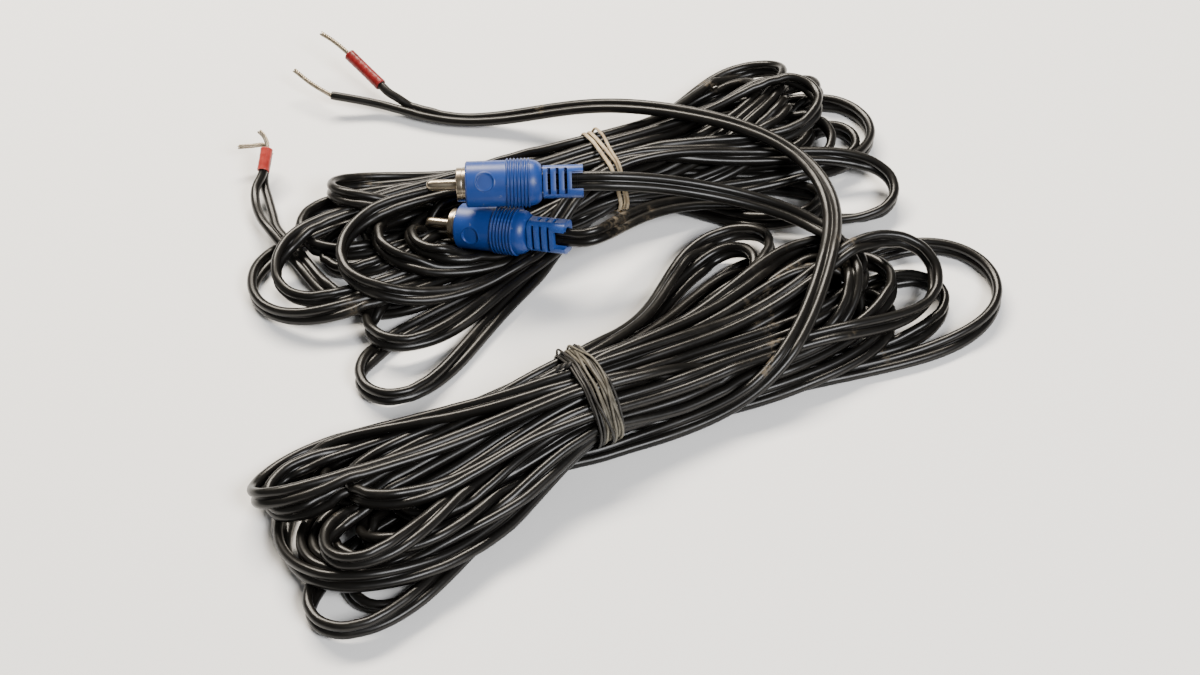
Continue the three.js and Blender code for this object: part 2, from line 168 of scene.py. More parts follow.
# Shares of the way back to where a node was laid, in one step: over the floor, and in height.
HOLD_HANK, HOLD_LOOSE = 0.03, 0.15
CARRY_PLUG_CORD, CARRY_TAIL = 0.25, 0.03

PAIR_REACH = 4.0        # cores nearer than this are watched for touching
SAME_STRETCH = 9        # nearer than this along the cord, cores aren't
SKIN = 0.08             # cores are pushed apart to this far from touching
FLOOR_GAP = 0.1
PLUG_GAP = 0.2
SLANT_STRENGTH = 0.6    # of the links that keep the two cores from sliding
TIE_REACH = 9           # length on either side of a tie in which its own turns stay gathered
BAND_ROOM = 1.6         # length on either side of a tie that other cords keep off
AT_REST_FROM = 0.8      # share of the steps after which the leads only come to rest


def unit(v):
    return v / np.maximum(np.linalg.norm(v, axis=-1, keepdims=True), 1e-9)


def along(points):
    """The distance of each point along the line through them."""
    steps = np.linalg.norm(np.diff(points[:, :3], axis=0), axis=1)
    return np.concatenate([[0.0], np.cumsum(steps)])


def resampled(rows, spacing):
    """The same line with evenly spaced points. Columns after the third are carried along."""
    s = along(rows)
    t = np.linspace(0, s[-1], max(2, int(round(s[-1] / spacing)) + 1))
    return np.stack([np.interp(t, s, rows[:, k]) for k in range(rows.shape[1])], axis=1)


def smooth_line(points, spacing):
    """A centripetal Catmull-Rom curve through points, with evenly spaced points of its own."""
    p = np.asarray(points, float)
    p = np.vstack([2 * p[0] - p[1], p, 2 * p[-1] - p[-2]])
    pieces = []
    for p0, p1, p2, p3 in zip(p[:-3], p[1:-2], p[2:-1], p[3:]):
        t1 = math.sqrt(np.linalg.norm(p1 - p0)) + 1e-6
        t2 = t1 + math.sqrt(np.linalg.norm(p2 - p1)) + 1e-6
        t3 = t2 + math.sqrt(np.linalg.norm(p3 - p2)) + 1e-6
        t = np.linspace(t1, t2, 20, endpoint=False)[:, None]
        a1 = (t1 - t) / t1 * p0 + t / t1 * p1
        a2 = (t2 - t) / (t2 - t1) * p1 + (t - t1) / (t2 - t1) * p2
        a3 = (t3 - t) / (t3 - t2) * p2 + (t - t2) / (t3 - t2) * p3
        b1 = (t2 - t) / t2 * a1 + t / t2 * a2
        b2 = (t3 - t) / (t3 - t1) * a2 + (t - t1) / (t3 - t1) * a3
        pieces.append((t2 - t) / (t2 - t1) * b1 + (t - t1) / (t2 - t1) * b2)
    return resampled(np.vstack(pieces + [p[-2:-1]]), spacing)


def plug_axes(plug):
    """A plug's nose direction, the direction of its cord's width and the way its recess faces."""
    x = unit(np.array(plug["nose"]))
    z = np.array(plug["facing"])
    z = unit(z - x * (z @ x))
    return x, np.cross(z, x), z


def on_plug_axis(plug, distance):
    """The point on a plug's axis at a distance from the mouth of its boot."""
    return np.array(plug["mouth"]) + plug_axes(plug)[0] * distance


def level_widths(points):
    """For each point of a line, the level direction across it."""
    return unit(np.cross([0.0, 0.0, 1.0], np.gradient(np.array(points, float), axis=0)))


class Hank:
    """One hank's own coordinates: u along it from its tie, v across it, and z up."""

    def __init__(self, waist, angle, oval, tie, left, right):
        turn = math.radians(angle)
        self.waist = np.array(waist)
        self.axis = np.array([math.cos(turn), math.sin(turn)])
        self.across = np.array([-math.sin(turn), math.cos(turn)])
        self.oval, self.tie = oval, tie
        self.left, self.right = left, right

    def world(self, u, v, z):
        return np.append(self.waist + self.axis * u + self.across * v, z)

    def local(self, points):
        flat = points[:, :2] - self.waist
        return flat @ self.axis, flat @ self.across

    def places(self, extra_right):
        """Where each pass goes through the tie: low passes head left, high ones head right."""
        turns = len(self.right)
        passes = []
        for k in range(turns + 1):
            ends = [self.left[k]] if k < len(self.left) else []
            ends += [self.right[k - 1]] if k else []
            height = sum(e[3] for e in ends) / len(ends) + 0.01 * k
            passes.append((height, sum(e[1] - e[2] / 2 - 3 for e in ends) / len(ends), ("low", k)))
        for k in range(turns):
            ends = [self.left[k], self.right[k]]
            height = sum(e[3] for e in ends) / 2 + 0.01 * k
            passes.append((height, sum(e[1] + e[2] / 2 + 3 for e in ends) / 2, ("high", k)))
        passes.sort()
        half, rise, middle = self.oval
        count = int(2 * (rise - CORE) / LAYER) + 1
        levels = np.linspace(-(rise - 1.5), rise - 1.5, count)
        room = [int(2 * half * math.sqrt(max(0.05, 1 - (z / rise) ** 2)) / 5.7) for z in levels]
        wanted = len(passes) + extra_right
        row = count // 2
        while sum(room) < wanted:
            room[row] += 1
            row = (row + 1) % count
        row = count - 1
        while sum(room) > wanted:
            room[row] -= 1
            row -= 1
        room[0] -= extra_right
        place = {}
        for z, n in zip(levels, room):
            row, passes = sorted(passes[:n], key=lambda q: q[1]), passes[n:]
            for column, q in enumerate(row):
                place[q[2]] = ((column - (n - 1) / 2) * PITCH, z + middle)
        place["last"] = (LAST_PASS[0], middle - rise + LAST_PASS[1])
        return place

    def bight(self, loop, start, stop, first):
        """Rows for one end loop, between two places in the tie: a point and a width direction."""
        reach, offset, breadth, height = loop
        sign = math.copysign(1.0, reach)
        tip = np.array([reach, offset], float)
        out = unit(tip)
        side = np.array([-out[1], out[0]]) * sign
        half = breadth / 2
        centre = tip - out * half
        upright = np.array([0.0, 0.0, 1.0])
        lying = np.append(self.across, 0.0)

        def arm(which, place):
            foot = np.array([sign * ARM_STARTS, place[0]])
            hip = centre + side * half * which
            rows = []
            for f, swing in ARM:
                u = foot[0] + (hip[0] - foot[0]) * f
                v = foot[1] + (hip[1] - foot[1]) * swing
                z = place[1] + (height - place[1]) * min(1.0, f * 1.15)
                rows.append(np.append(self.world(u, v, z), unit(lying * (1 - f) + upright * f * 1.2)))
            return rows

        arc = []
        for i in range(5):
            turn = math.pi * i / 4
            q = centre + side * half * first * math.cos(turn) + out * half * math.sin(turn)
            arc.append(np.append(self.world(q[0], q[1], height), upright))
        return arm(first, start) + arc + arm(-first, stop)[::-1]

    def winding(self, ends_heading_right):
        """Rows for all the turns, entered from the right."""
        place = self.places(int(ends_heading_right))
        lying = np.append(self.across, 0.0)
        turns = len(self.right)

        def through(name):
            return [np.append(self.world(0, *place[name]), lying)]

        rows = []
        for k in range(turns):
            low, high, after = ("low", k), ("high", k), ("low", k + 1)
            rows += through(low) + self.bight(self.left[k], place[low], place[high], -1)
            rows += through(high) + self.bight(self.right[k], place[high], place[after], 1)
        rows += through(after)
        if ends_heading_right:
            rows += self.bight(self.left[turns], place[after], place["last"], -1) + through("last")
        return rows


def lead_rows(name, hank):
    """The whole of a lead from inside its boot to its split, before it settles."""
    plug = PLUGS[name]
    start = [on_plug_axis(plug, d) for d in (ENTRY, -1.0, -4.0)]
    points = start + [np.array(p, float) for p in PLUG_CORD[name]]
    level = level_widths(points)
    width = plug_axes(plug)[1]
    rows = []
    held = BROAD_SIDE_UP[name]
    for i, (point, flat) in enumerate(zip(points, level)):
        turned = min(1.0, max(0.0, (i - held) / WIDTH_TURNS_OVER))
        rows.append(np.append(point, unit(width * (1 - turned) * np.sign(width @ flat) + flat * turned)))
    rows += hank.winding(len(hank.left) > len(hank.right))
    tail = [np.array(p, float) for p in TAIL_CORD[name]]
    rows += [np.append(point, flat) for point, flat in zip(tail, level_widths(tail))]
    return np.array(rows)


def fine_rows(rows):
    """The rows as a smooth line, each width direction kept where it was along it."""
    line = smooth_line(rows[:, :3], 0.7)
    marks, last = [0], 0
    for point in rows[1:-1, :3]:
        last += int(np.argmin(np.linalg.norm(line[last:last + 400] - point, axis=1)))
        marks.append(last)
    marks.append(len(line) - 1)
    index = np.arange(len(line))
    width = np.stack([np.interp(index, marks, rows[:, 3 + k]) for k in range(3)], axis=1)
    return np.hstack([line, unit(width)])


# ---------------------------------------------------------------- letting the leads settle

def close_pairs(points, reach, apart):
    """Pairs of points nearer than reach that apart(i, j) allows, found with a grid of cells."""
    cell = np.floor(points / reach).astype(np.int64)
    cell -= cell.min(axis=0) - 1
    size = cell.max(axis=0) + 2
    key = (cell[:, 0] * size[1] + cell[:, 1]) * size[2] + cell[:, 2]
    order = np.argsort(key, kind="stable")
    ordered = key[order]
    found = []
    for shift in itertools.product((-1, 0, 1), repeat=3):
        if shift < (0, 0, 0):
            continue
        other = key + (shift[0] * size[1] + shift[1]) * size[2] + shift[2]
        low = np.searchsorted(ordered, other, "left")
        count = np.searchsorted(ordered, other, "right") - low
        i = np.repeat(np.arange(len(points)), count)
        step = np.arange(len(i)) - np.repeat(np.cumsum(count) - count, count)
        j = order[np.repeat(low, count) + step]
        if shift == (0, 0, 0):
            i, j = i[i < j], j[i < j]
        gap = points[i] - points[j]
        near = (np.einsum("ij,ij->i", gap, gap) < reach * reach) & apart(i, j)
        found.append((i[near], j[near]))
    return np.concatenate([f[0] for f in found]), np.concatenate([f[1] for f in found])


class Leads:
    """Both leads as pairs of touching cores, which settle on the floor and on each other."""

    def __init__(self, hanks, routes, solids):
        self.hanks, self.solids = hanks, solids
        nodes, lead, arc, layer, fixed, wound, hold, carry = [], [], [], [], [], [], [], []
        self.cores = []
        for k, (route, (plug_cord, tail)) in enumerate(zip(routes, LOOSE_ENDS)):
            rows = resampled(route, NODE_STEP)
            line = rows[:, :3]
            ahead = unit(np.gradient(line, axis=0))
            width = rows[:, 3:] - ahead * np.einsum("ij,ij->i", rows[:, 3:], ahead)[:, None]
            s = along(line)
            ends = (s < HELD_AT_BOOT) | (s > s[-1] - HELD_AT_SPLIT)
            in_hank = (s > plug_cord) & (s < s[-1] - tail)
            lifted = np.where(s < plug_cord, CARRY_PLUG_CORD, CARRY_TAIL)
            for side in (1, -1):
                self.cores.append(slice(sum(map(len, nodes)), sum(map(len, nodes)) + len(line)))
                nodes.append(line + unit(width) * CORE * side)
                lead.append(np.full(len(line), k))
                arc.append(s)
                layer.append(line[:, 2])
                fixed.append(ends)
                wound.append(in_hank)
                hold.append(np.where(in_hank, HOLD_HANK, HOLD_LOOSE))
                carry.append(np.where(in_hank, 0.0, lifted))
        self.p = np.vstack(nodes)
        self.start = self.p.copy()
        self.lead, self.fixed, self.wound = map(np.concatenate, (lead, fixed, wound))
        self.free = (~self.fixed).astype(float)
        self.hold = np.concatenate(hold) * self.free
        self.carry = np.concatenate(carry) * self.free
        first = [np.arange(c.start, c.stop) for c in self.cores]
        self.a = np.concatenate([np.concatenate([i[:-1], i[:-1]]) for i in first])
        self.b = np.concatenate([np.concatenate([i[:-1], i[1:]]) for i in first])
        arc, layer = np.concatenate(arc), np.concatenate(layer)
        self.ball_lead = self.lead[self.a]
        self.ball_arc = (arc[self.a] + arc[self.b]) / 2
        self.ball_layer = (layer[self.a] + layer[self.b]) / 2
        self.links = []
        slant = math.hypot(NODE_STEP, 2 * CORE)
        for k in (0, 2):
            one, two = first[k], first[k + 1]
            for odd in (0, 1):
                for core in (one, two):
                    self.links.append((core[:-1][odd::2], core[1:][odd::2], NODE_STEP, 1.0))
                self.links.append((one[:-1][odd::2], two[1:][odd::2], slant, SLANT_STRENGTH))
                self.links.append((two[:-1][odd::2], one[1:][odd::2], slant, SLANT_STRENGTH))
            self.links.append((one, two, 2 * CORE, 1.0))

    def balls(self):
        return (self.p[self.a] + self.p[self.b]) / 2

    def find_pairs(self):
        def apart(i, j):
            distance = np.abs(self.ball_arc[i] - self.ball_arc[j])
            return (self.ball_lead[i] != self.ball_lead[j]) | (distance > SAME_STRETCH)
        self.pairs = close_pairs(self.balls(), PAIR_REACH, apart)

    def stiffen(self, amount):
        """Straightens wiggles of three sizes without pulling the loops shorter."""
        for core in self.cores:
            q = self.p[core]
            move = np.zeros_like(q)
            for s, share in ((1, 1.0), (2, 0.7), (4, 0.4)):
                lap = np.zeros_like(q)
                lap[s:-s] = (q[:-2 * s] + q[2 * s:]) / 2 - q[s:-s]
                move[2 * s:-2 * s] += share * (lap[2 * s:-2 * s] - (lap[s:-3 * s] + lap[3 * s:-s]) / 2)
            self.p[core] = q + amount * move * self.free[core][:, None]

    def open_tight_bends(self, radius, span):
        chord = 2 * radius * math.sin(span * NODE_STEP / (2 * radius))
        for core in self.cores:
            q = self.p[core]
            d = q[span:] - q[:-span]
            length = np.linalg.norm(d, axis=1)
            push = (0.25 * np.clip(chord - length, 0, None) / np.maximum(length, 1e-6))[:, None] * d
            move = np.zeros_like(q)
            move[span:] += push
            move[:-span] -= push
            self.p[core] = q + move * self.free[core][:, None]

    def pull_links(self):
        for i, j, rest, strength in self.links:
            d = self.p[i] - self.p[j]
            length = np.maximum(np.linalg.norm(d, axis=1), 1e-6)
            share = np.maximum(self.free[i] + self.free[j], 1e-6)
            pull = (strength * (length - rest) / length / share)[:, None] * d
            self.p[i] -= pull * self.free[i][:, None]
            self.p[j] += pull * self.free[j][:, None]

    def push_apart(self, layering, gain):
        """Keeps the cores from passing through each other, and the higher laid one above."""
        i, j = self.pairs
        balls = self.balls()
        d = balls[i] - balls[j]
        length = np.linalg.norm(d, axis=1)
        need = 2 * CORE + SKIN
        hit = length < need
        i, j, d, length = i[hit], j[hit], d[hit], length[hit]
        d[:, 2] += layering * np.sign(self.ball_layer[i] - self.ball_layer[j])
        push = (gain * 0.5 * (need - length))[:, None] * unit(d)
        ends = np.concatenate([self.a[i], self.b[i], self.a[j], self.b[j]])
        pushes = np.vstack([push, push, -push, -push])
        total = np.stack([np.bincount(ends, pushes[:, k], len(self.p)) for k in range(3)], axis=1)
        count = np.maximum(1.0, 0.35 * np.bincount(ends, minlength=len(self.p)))
        self.p += total / count[:, None] * self.free[:, None]

    def keep_clear(self):
        """Of the floor, of the plugs and split ends, and of the ties, which hold their own turns."""
        p = self.p
        p[:, 2] = np.maximum(p[:, 2], CORE + FLOOR_GAP)
        for start, stop, radius_start, radius_stop, lies_on in self.solids:
            line = stop - start
            t = np.clip((p - start) @ line / (line @ line), 0, 1)
            d = p - (start + t[:, None] * line)
            need = radius_start + (radius_stop - radius_start) * t + CORE + PLUG_GAP
            length = np.maximum(np.linalg.norm(d, axis=1), 1e-6)
            under = (self.lead == lies_on) & self.wound
            hit = (length < need) & ~self.fixed & ~under
            p[hit] += (0.7 * (need / length - 1))[hit, None] * d[hit]
            flat = np.linalg.norm(d[:, :2], axis=1)
            depth = d[:, 2] + np.sqrt(np.clip(need ** 2 - flat ** 2, 0, None))
            hit = (flat < need) & (depth > 0) & under
            p[hit, 2] -= np.minimum(0.6 * depth[hit], 0.8)
        for k, hank in enumerate(self.hanks):
            half, rise, middle = hank.oval
            u, v = hank.local(p)
            z = p[:, 2] - middle
            near = np.abs(u)
            grow = 1 + 0.03 * np.clip(near - hank.tie / 2, 0, None)
            out = np.hypot(v / ((half - CORE) * grow), z / ((rise - CORE) * grow))
            own = (self.lead == k) & self.wound
            inside = own & (near < hank.tie / 2 + TIE_REACH) & (out > 1) & ~self.fixed
            self.shift(hank, inside, 0.5 * (1 / out[inside] - 1), v, z)
            out = np.hypot(v / (half + LAYER), z / (rise + LAYER))
            over = ~own & (near < hank.tie / 2 + BAND_ROOM) & (out < 1) & ~self.fixed
            self.shift(hank, over, 0.7 * (1 / np.maximum(out[over], 0.2) - 1), v, z)

    def shift(self, hank, which, share, v, z):
        """Moves nodes away from a hank's middle by a share of their distance from it."""
        self.p[which, :2] += (share * v[which])[:, None] * hank.across
        self.p[which, 2] += share * z[which]

    def settle(self, steps):
        """Lets the leads fall and part under a loosening grip, and then come to rest."""
        for step in range(steps):
            if step % 4 == 0:
                self.find_pairs()
            done = step / steps
            layering = max(0.0, 1.2 - 2.0 * done)
            moving = done < AT_REST_FROM
            fall = 0.10 if done < 0.7 else 0.02 if moving else 0.0
            grip = 1.0 if done < 0.55 else 0.5 if moving else 0.05
            self.p[:, 2] -= fall * self.free
            self.p[:, :2] += (self.hold * grip)[:, None] * (self.start - self.p)[:, :2]
            self.p[:, 2] += self.carry * grip * (self.start - self.p)[:, 2]
            for _ in range(2):
                self.stiffen(0.16 if moving else 0.04)
                self.open_tight_bends(LEAST_BEND, 3)
                self.open_tight_bends(LEAST_BEND, 5)
                self.pull_links()
                self.push_apart(layering, 0.6 if moving else 1.1)
                self.keep_clear()

    def core_lines(self, k):
        """The nodes of the two cores of lead k."""
        return self.p[self.cores[2 * k]], self.p[self.cores[2 * k + 1]]


def plug_solids():
    """Straight tapered rods for the plugs and the split ends of lead A, and the lead each lies on."""
    rods = []
    for plug, lies_on in ((PLUGS["a"], 0), (PLUGS["b"], None)):
        for start, stop, r0, r1 in ((1, 12.5, 4.3, 4.6), (13, 33.5, 7.2, 7.0), (34, 45, 4.9, 1.6)):
            rods.append((on_plug_axis(plug, start), on_plug_axis(plug, stop), r0, r1, lies_on))
    for leg in (LEGS["marked_a"], LEGS["plain_a"]):
        points = [np.array(p, float) for p in leg]
        rods += [(p, q, CORE, CORE, None) for p, q in zip(points[:-1], points[1:])]
    return rods

# ---------------------------------------------------------------- materials

class Paint:
    """A material under construction: its shader, its nodes and the object's own coordinates."""

    def __init__(self, name, color, roughness, metallic=0.0, **sockets):
        self.material = bpy.data.materials.new(name)
        self.material.use_nodes = True
        self.tree = self.material.node_tree
        self.shader = self.tree.nodes["Principled BSDF"]
        self.shader.inputs["Base Color"].default_value = (*color, 1.0)
        self.shader.inputs["Roughness"].default_value = roughness
        self.shader.inputs["Metallic"].default_value = metallic
        for socket, value in sockets.items():
            self.shader.inputs[socket.replace("_", " ")].default_value = value
        self.place = self.node("ShaderNodeTexCoord").outputs["Object"]
        self.below = {}     # the bump that the next one lies on

    def node(self, kind, inputs=None, **settings):
        made = self.tree.nodes.new(kind)
        for key, value in settings.items():
            setattr(made, key, value)
        for key, value in (inputs or {}).items():
            self.plug(value, made.inputs[key])
        return made

    def plug(self, value, socket):
        if isinstance(value, bpy.types.NodeSocket):
            self.tree.links.new(value, socket)
        else:
            socket.default_value = value

    def noise(self, scale, detail=4.0, roughness=0.6, place=None, distortion=0.0):
        made = self.node("ShaderNodeTexNoise", {
            "Vector": place or self.place, "Scale": scale, "Detail": detail,
            "Roughness": roughness, "Distortion": distortion,
        })
        return made.outputs["Fac"]

    def ramp(self, value, *stops):
        made = self.node("ShaderNodeValToRGB", {"Fac": value})
        ramp = made.color_ramp
        while len(ramp.elements) < len(stops):
            ramp.elements.new(0.5)
        for element, (position, shade) in zip(ramp.elements, stops):
            element.position = position
            element.color = (*shade, 1.0) if isinstance(shade, tuple) else (shade, shade, shade, 1.0)
        return made.outputs["Color"]

    def mix(self, share, first, second):
        made = self.node("ShaderNodeMix", data_type="RGBA")
        for value, key in ((share, 0), (first, 6), (second, 7)):
            if isinstance(value, tuple):
                value = (*value, 1.0)
            self.plug(value, made.inputs[key])
        return made.outputs[2]

    def math(self, operation, *values):
        made = self.node("ShaderNodeMath", operation=operation)
        for value, socket in zip(values, made.inputs):
            self.plug(value, socket)
        return made.outputs[0]

    def times(self, first, second):
        return self.math("MULTIPLY", first, second)

    def scaled(self, value, factor, offset):
        return self.math("MULTIPLY_ADD", value, factor, offset)

    def axial(self, plug):
        """The distance along a plug's axis from the mouth of its boot, in metres."""
        nose = plug_axes(plug)[0]
        away = self.node("ShaderNodeVectorMath", operation="SUBTRACT")
        self.plug(self.place, away.inputs[0])
        away.inputs[1].default_value = [c * MM for c in plug["mouth"]]
        made = self.node("ShaderNodeVectorMath", operation="DOT_PRODUCT")
        self.plug(away.outputs[0], made.inputs[0])
        made.inputs[1].default_value = list(nose)
        return made.outputs["Value"]

    def near(self, spot, reach):
        """1 at a point given in millimetres, falling to 0 at a reach from it."""
        away = self.node("ShaderNodeVectorMath", operation="DISTANCE")
        self.plug(self.place, away.inputs[0])
        away.inputs[1].default_value = [c * MM for c in spot]
        share = self.math("DIVIDE", away.outputs["Value"], reach * MM)
        return self.ramp(share, (0.45, 1.0), (1.0, 0.0))

    def bump(self, height, strength, distance):
        made = self.node("ShaderNodeBump", {
            "Height": height, "Strength": strength, "Distance": distance, **self.below,
        })
        self.below = {"Normal": made.outputs["Normal"]}
        self.plug(made.outputs["Normal"], self.shader.inputs["Normal"])

    def set(self, socket, value):
        self.plug(value, self.shader.inputs[socket])


# Places on the cord that are rubbed to a pale tan, in millimetres, and how far each one reaches.
RUBBED = [((0.0, 21.5, 16.0), 8.0), ((-72.0, -7.0, 12.0), 6.0), ((-93.0, -22.0, 10.0), 6.0)]


def jacket_paint(name, lift=1.0):
    """Black PVC cord jacket: worn to a soft gloss, dusty, with a few pale scuffed places."""
    paint = Paint(name, (0.005, 0.0045, 0.0038), 0.3, Specular_IOR_Level=0.3)
    cloud = paint.noise(55.0, 5.0, 0.65)
    grain = paint.noise(380.0, 4.0, 0.6)
    dusty = paint.ramp(cloud, (0.52, 0.0), (0.78, 1.0))
    dust = paint.times(dusty, paint.ramp(grain, (0.44, 0.1), (0.68, 1.0)))
    worn = paint.ramp(paint.noise(34.0, 3.0, 0.55, distortion=0.4), (0.68, 0.0), (0.72, 1.0))
    for spot, reach in RUBBED:
        worn = paint.math("MAXIMUM", worn, paint.near(spot, reach))
    scratches = paint.ramp(paint.noise(520.0, 5.0, 0.75), (0.48, 0.0), (0.60, 1.0))
    scuff = paint.times(worn, scratches)
    dark, light = (0.0032, 0.0030, 0.0028), (0.0072, 0.0064, 0.0053)
    tone = paint.mix(cloud, tuple(c * lift for c in dark), tuple(c * lift for c in light))
    tone = paint.mix(paint.times(dust, 0.16), tone, (0.075, 0.064, 0.048))
    tone = paint.mix(paint.times(scuff, 0.6), tone, (0.17, 0.135, 0.09))
    paint.set("Base Color", tone)
    dull = paint.math("ADD", paint.times(dust, 0.22), paint.times(scuff, 0.3))
    paint.set("Roughness", paint.math("ADD", paint.scaled(cloud, 0.16, 0.22), dull))
    paint.bump(paint.noise(2600.0, 2.0, 0.5), 0.04, 0.00002)
    paint.bump(paint.noise(110.0, 2.0, 0.4), 0.10, 0.0002)
    return paint.material


def blue_paint():
    """Moulded blue PVC with a fine matt texture, handling marks, and painted shade in its grooves."""
    paint = Paint("blue_pvc", (0.018, 0.10, 0.44), 0.42, Specular_IOR_Level=0.45)
    cloud = paint.noise(160.0, 5.0, 0.6)
    grain = paint.noise(2600.0, 3.0, 0.7)
    edge = paint.node("ShaderNodeNewGeometry").outputs["Pointiness"]
    # Painted shade: concave places such as the grooves are marked to be darkened towards the blue of the
    # plastic in shade.
    groove_shade = paint.ramp(edge, (0.44, 1.0), (0.495, 0.0))
    rubbed = paint.ramp(edge, (0.515, 0.0), (0.56, 1.0))
    worn = paint.times(rubbed, paint.ramp(grain, (0.4, 0.3), (0.6, 1.0)))
    tone = paint.mix(cloud, (0.0055, 0.034, 0.185), (0.009, 0.050, 0.25))
    # The painted shade in the grooves goes into the colour here.
    tone = paint.mix(paint.times(groove_shade, 0.7), tone, (0.004, 0.016, 0.08))
    tone = paint.mix(paint.times(worn, 0.35), tone, (0.06, 0.15, 0.46))
    specks = paint.ramp(paint.noise(700.0, 2.0, 0.5), (0.70, 0.0), (0.74, 1.0))
    tone = paint.mix(paint.times(specks, 0.4), tone, (0.16, 0.18, 0.22))
    paint.set("Base Color", tone)
    paint.set("Roughness", paint.scaled(cloud, 0.2, 0.30))
    paint.bump(grain, 0.18, 0.00004)
    paint.bump(paint.noise(320.0, 2.0, 0.5), 0.15, 0.0001)
    return paint.material


def nickel_paint(plug):
    """Turned and plated brass: fine rings round the axis, dulled by a thin warm tarnish."""
    paint = Paint("nickel", (0.60, 0.55, 0.47), 0.26, 1.0)
    ahead = paint.axial(plug)
    rings = paint.node("ShaderNodeCombineXYZ", {"X": ahead})
    lines = paint.noise(9000.0, 2.0, 0.8, place=rings.outputs["Vector"])
    cloud = paint.noise(190.0, 5.0, 0.65)
    tarnish = paint.ramp(cloud, (0.35, 0.0), (0.75, 1.0))
    paint.set("Base Color", paint.mix(tarnish, (0.44, 0.38, 0.295), (0.19, 0.15, 0.105)))
    paint.set("Roughness", paint.scaled(cloud, 0.22, paint.scaled(lines, 0.12, 0.12)))
    paint.bump(lines, 0.22, 0.00003)
    paint.bump(paint.noise(1400.0, 3.0, 0.6), 0.08, 0.00004)
    return paint.material


def plain_paint(name, dark, light, roughness, metallic=0.0, scale=300.0, depth=0.00005):
    """A moulded or drawn surface that varies between two tones, with a fine grain."""
    paint = Paint(name, light, roughness, metallic)
    cloud = paint.noise(scale, 5.0, 0.6)
    fine = paint.noise(2200.0, 3.0, 0.7)
    share = paint.scaled(fine, 0.35, paint.times(cloud, 0.75))
    paint.set("Base Color", paint.mix(paint.ramp(share, (0.36, 0.0), (0.72, 1.0)), dark, light))
    paint.set("Roughness", paint.scaled(cloud, 0.24, roughness - 0.12))
    paint.bump(fine, 0.25, depth)
    return paint.material


def sleeve_paint(name, dark, light):
    """Shrunk plastic sleeve: a soft gloss, faint ripples and rubbed, dirty ends."""
    paint = Paint(name, light, 0.36, Specular_IOR_Level=0.3)
    cloud = paint.noise(240.0, 5.0, 0.65)
    edge = paint.node("ShaderNodeNewGeometry").outputs["Pointiness"]
    rubbed = paint.ramp(edge, (0.51, 0.0), (0.57, 1.0))
    worn = paint.times(rubbed, paint.ramp(cloud, (0.4, 0.2), (0.6, 1.0)))
    tone = paint.mix(paint.ramp(cloud, (0.35, 0.0), (0.68, 1.0)), dark, light)
    pale = tuple(min(1.0, c * 1.5 + 0.06) for c in light)
    tone = paint.mix(paint.times(worn, 0.5), tone, pale)
    marks = paint.ramp(paint.noise(520.0, 4.0, 0.7), (0.62, 0.0), (0.70, 1.0))
    tone = paint.mix(paint.times(marks, 0.45), tone, (0.05, 0.018, 0.014))
    paint.set("Base Color", tone)
    paint.set("Roughness", paint.scaled(cloud, 0.22, 0.24))
    paint.bump(paint.noise(800.0, 3.0, 0.6), 0.3, 0.00007)
    return paint.material


def band_paint(name, dark, light, roughness):
    """Aged rubber: powdery, finely cracked and darker where it is dirty."""
    paint = Paint(name, light, roughness, Specular_IOR_Level=0.35)
    cloud = paint.noise(170.0, 5.0, 0.7)
    cells = {"Vector": paint.place, "Scale": 1300.0}
    cracks = paint.node("ShaderNodeTexVoronoi", cells, feature="DISTANCE_TO_EDGE")
    crack = paint.ramp(cracks.outputs["Distance"], (0.0, 1.0), (0.09, 0.0))
    tone = paint.mix(paint.ramp(cloud, (0.34, 0.0), (0.66, 1.0)), dark, light)
    tone = paint.mix(paint.times(crack, 0.35), tone, tuple(c * 0.45 for c in dark))
    paint.set("Base Color", tone)
    paint.set("Roughness", paint.scaled(cloud, 0.2, roughness - 0.1))
    paint.bump(crack, 0.35, -0.00005)
    paint.bump(paint.noise(900.0, 3.0, 0.6), 0.3, 0.00008)
    return paint.material


JACKET = jacket_paint("cord_jacket")
LEG_JACKET = jacket_paint("leg_jacket", 1.15)
BLUE = blue_paint()
NICKEL = {name: nickel_paint(plug) for name, plug in PLUGS.items()}
INSULATOR = plain_paint("insulator", (0.62, 0.58, 0.48), (0.80, 0.77, 0.68), 0.45)
INNER = plain_paint("inner_mould", (0.012, 0.012, 0.013), (0.03, 0.03, 0.032), 0.6)
COPPER = plain_paint("copper", (0.42, 0.16, 0.07), (0.72, 0.34, 0.17), 0.34, 1.0, depth=0.00003)
INSIDE_PLUG = {"inner_mould": INNER, "signal_wire": COPPER, "ground_wire": COPPER}
TINNED = plain_paint("tinned_strand", (0.16, 0.13, 0.09), (0.42, 0.37, 0.29), 0.36, 1.0, scale=700.0)
SLEEVE = {
    "a": sleeve_paint("sleeve_salmon", (0.26, 0.022, 0.017), (0.44, 0.05, 0.038)),
    "b": sleeve_paint("sleeve_red", (0.11, 0.005, 0.005), (0.24, 0.010, 0.011)),
}
TAN_BAND = band_paint("rubber_tan", (0.30, 0.22, 0.13), (0.60, 0.50, 0.34), 0.6)
GREY_BAND = band_paint("rubber_grey", (0.035, 0.031, 0.024), (0.17, 0.155, 0.12), 0.5)
BLACK_BAND = band_paint("rubber_black", (0.008, 0.008, 0.008), (0.035, 0.032, 0.028), 0.5)


# ---------------------------------------------------------------- mesh making

def piece(name, vertices, faces, material, body=None, stands_for=(), smooth_angle=40):
    """A mesh object from millimetre vertices. It rides on a body if one is given."""
    mesh = bpy.data.meshes.new(name)
    mesh.from_pydata((np.asarray(vertices) * MM).tolist(), [], [tuple(map(int, f)) for f in faces])
    mesh.materials.append(material)
    mesh.update()
    return finished(name, mesh, body, stands_for, smooth_angle)


